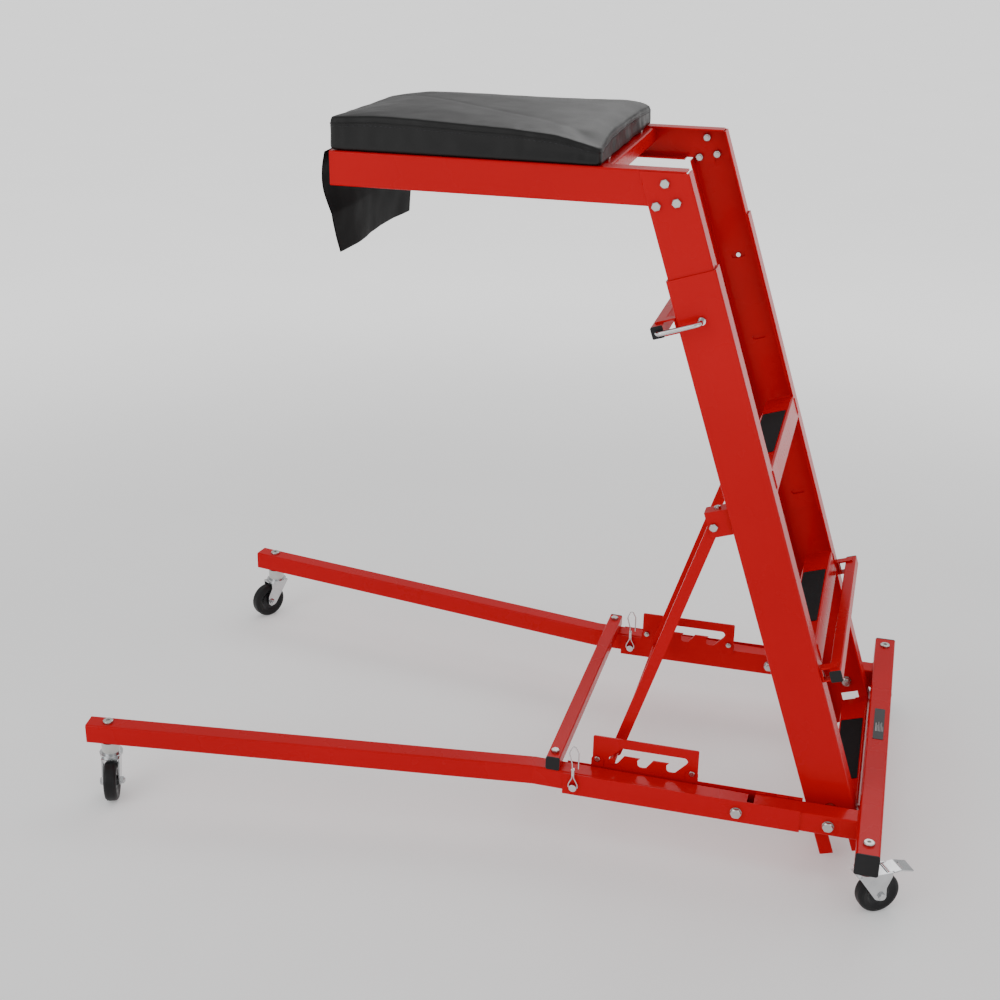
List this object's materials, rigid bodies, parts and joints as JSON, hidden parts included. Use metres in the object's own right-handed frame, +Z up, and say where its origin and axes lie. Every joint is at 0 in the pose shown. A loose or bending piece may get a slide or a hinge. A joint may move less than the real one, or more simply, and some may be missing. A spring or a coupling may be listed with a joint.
{
  "type": "topside mechanics creeper",
  "caption": "Wheeled ladder frame with a padded chest deck that reaches over an engine bay; legs fold, deck height is set by pins, struts rest in notched plates",
  "frame": {"origin": "on the floor under the centre of the whole object's bounding box", "axes": "+Z up, +X from the front casters toward the rear crossbar, +Y to the right of a user who faces the deck"},
  "size_m": [1.4966, 0.8574, 1.2377],
  "materials": {
    "red_paint": "gloss",
    "black_plastic": "matte",
    "label_black": "satin",
    "grip_tape": "rough",
    "zinc": "satin",
    "chrome_pin": "polished",
    "plywood": "matte",
    "vinyl": "satin",
    "caster_zinc": "satin",
    "wheel_rubber": "satin"
  },
  "bodies": {
    "base": {"rear_crossbar": "red_paint", "rear_end_caps": "black_plastic", "rating_plate": "label_black", "side_stub_near": "red_paint", "side_stub_far": "red_paint", "leg_channel_near": "red_paint", "leg_channel_far": "red_paint", "notch_plate_near": "red_paint", "notch_plate_far": "red_paint", "notch_plate_bolts": "zinc", "pivot_bolts": "zinc", "rear_caster_stems": "zinc"},
    "leg_frame": {"front_leg_near": "red_paint", "front_leg_far": "red_paint", "leg_brace": "red_paint", "brace_end_caps": "black_plastic", "brace_bolts": "zinc", "front_caster_stems": "zinc"},
    "ladder": {"lower_rail_near": "red_paint", "lower_rail_far": "red_paint", "step_bottom": "red_paint", "step_middle": "red_paint", "step_top": "red_paint", "grip_tapes": "grip_tape", "rear_bar": "red_paint", "lock_bar": "red_paint", "bar_end_caps": "black_plastic", "bar_brackets": "red_paint", "strut_clevises": "red_paint", "strut_pivot_bolts": "zinc", "clevis_top_bolts": "zinc"},
    "struts": {"strut_near": "red_paint", "strut_far": "red_paint", "strut_foot_bar": "red_paint"},
    "deck": {"upper_rail_near": "red_paint", "upper_rail_far": "red_paint", "deck_rail_near": "red_paint", "deck_rail_far": "red_paint", "deck_joint_bolts": "zinc", "deck_front_bar": "red_paint", "deck_middle_bar": "red_paint", "deck_rear_bar": "red_paint", "pad_board": "plywood", "board_screws": "zinc", "pad_cushion": "vinyl", "front_flap": "vinyl"},
    "near_lock_pin": {"lock_pin_near": "chrome_pin"},
    "far_lock_pin": {"lock_pin_far": "chrome_pin"},
    "near_hitch_pin": {"hitch_pin_near": "chrome_pin"},
    "far_hitch_pin": {"hitch_pin_far": "chrome_pin"},
    "caster_rear_near": {"caster_fork_rear_near": "caster_zinc"},
    "wheel_body_rear_near": {"wheel_rear_near": "wheel_rubber"},
    "pedal_rear_near": {"brake_pedal_rear_near": "caster_zinc"},
    "caster_rear_far": {"caster_fork_rear_far": "caster_zinc"},
    "wheel_body_rear_far": {"wheel_rear_far": "wheel_rubber"},
    "pedal_rear_far": {"brake_pedal_rear_far": "caster_zinc"},
    "caster_front_near": {"caster_fork_front_near": "caster_zinc"},
    "wheel_body_front_near": {"wheel_front_near": "wheel_rubber"},
    "caster_front_far": {"caster_fork_front_far": "caster_zinc"},
    "wheel_body_front_far": {"wheel_front_far": "wheel_rubber"}
  },
  "joints": [
    {"name": "deck_height", "type": "slide", "parent": "ladder", "child": "deck", "axis": [-0.3107, 0, 0.9505], "range_m": [0, 0.4755]},
    {"name": "near_lock_pin_draw", "type": "slide", "parent": "ladder", "child": "near_lock_pin", "axis": [0, -1, 0], "range_m": [0, 0.054]},
    {"name": "far_lock_pin_draw", "type": "slide", "parent": "ladder", "child": "far_lock_pin", "axis": [0, 1, 0], "range_m": [0, 0.054]},
    {"name": "leg_fold", "type": "hinge", "parent": "base", "child": "leg_frame", "pos_m": [0.44442, 0.0177, 0.1105], "axis": [0, 1, 0], "range_deg": [0, 46]},
    {"name": "near_hitch_pin_draw", "type": "slide", "parent": "base", "child": "near_hitch_pin", "axis": [0, -1, 0], "range_m": [0, 0.059]},
    {"name": "far_hitch_pin_draw", "type": "slide", "parent": "base", "child": "far_hitch_pin", "axis": [0, -1, 0], "range_m": [0, 0.059]},
    {"name": "ladder_tilt", "type": "hinge", "parent": "base", "child": "ladder", "pos_m": [0.60092, 0.0177, 0.1116], "axis": [0, 1, 0], "range_deg": [0, 3.76]},
    {"name": "strut_swing", "type": "hinge", "parent": "ladder", "child": "struts", "pos_m": [0.3628, 0.0177, 0.60998], "axis": [0, 1, 0], "range_deg": [-1.95, 0]},
    {"name": "swivel_rear_near", "type": "hinge", "parent": "base", "child": "caster_rear_near", "pos_m": [0.66992, -0.3363, 0.0885], "axis": [0, 0, 1], "continuous": true},
    {"name": "wheel_spin_rear_near", "type": "hinge", "parent": "caster_rear_near", "child": "wheel_body_rear_near", "pos_m": [0.69197, -0.32253, 0.0375], "axis": [-0.5299, 0.848, 0], "continuous": true},
    {"name": "brake_rear_near", "type": "hinge", "parent": "caster_rear_near", "child": "pedal_rear_near", "pos_m": [0.70215, -0.31617, 0.079], "axis": [-0.5299, 0.848, 0], "range_deg": [0, 9]},
    {"name": "swivel_rear_far", "type": "hinge", "parent": "base", "child": "caster_rear_far", "pos_m": [0.66992, 0.3717, 0.0885], "axis": [0, 0, 1], "continuous": true},
    {"name": "wheel_spin_rear_far", "type": "hinge", "parent": "caster_rear_far", "child": "wheel_body_rear_far", "pos_m": [0.67128, 0.34573, 0.0375], "axis": [0.9986, 0.0523, 0], "continuous": true},
    {"name": "brake_rear_far", "type": "hinge", "parent": "caster_rear_far", "child": "pedal_rear_far", "pos_m": [0.67191, 0.33375, 0.079], "axis": [0.9986, 0.0523, 0], "range_deg": [0, 9]},
    {"name": "swivel_front_near", "type": "hinge", "parent": "leg_frame", "child": "caster_front_near", "pos_m": [-0.70658, -0.36754, 0.0885], "axis": [0, 0, 1], "continuous": true},
    {"name": "wheel_spin_front_near", "type": "hinge", "parent": "caster_front_near", "child": "wheel_body_front_near", "pos_m": [-0.69663, -0.39156, 0.0375], "axis": [0.9239, 0.3827, 0], "continuous": true},
    {"name": "swivel_front_far", "type": "hinge", "parent": "leg_frame", "child": "caster_front_far", "pos_m": [-0.70658, 0.40294, 0.0885], "axis": [0, 0, 1], "continuous": true},
    {"name": "wheel_spin_front_far", "type": "hinge", "parent": "caster_front_far", "child": "wheel_body_front_far", "pos_m": [-0.72055, 0.38101, 0.0375], "axis": [0.8434, -0.5373, 0], "continuous": true}
  ],
  "couplings": [
    {"joint": "near_lock_pin_draw", "follows": "deck_height", "ratio": 0.11146},
    {"joint": "far_lock_pin_draw", "follows": "deck_height", "ratio": 0.11146},
    {"joint": "near_hitch_pin_draw", "follows": "leg_fold", "m_per_rad": 0.072243},
    {"joint": "far_hitch_pin_draw", "follows": "leg_fold", "m_per_rad": 0.072243},
    {"joint": "strut_swing", "follows": "ladder_tilt", "ratio": -0.5125}
  ]
}
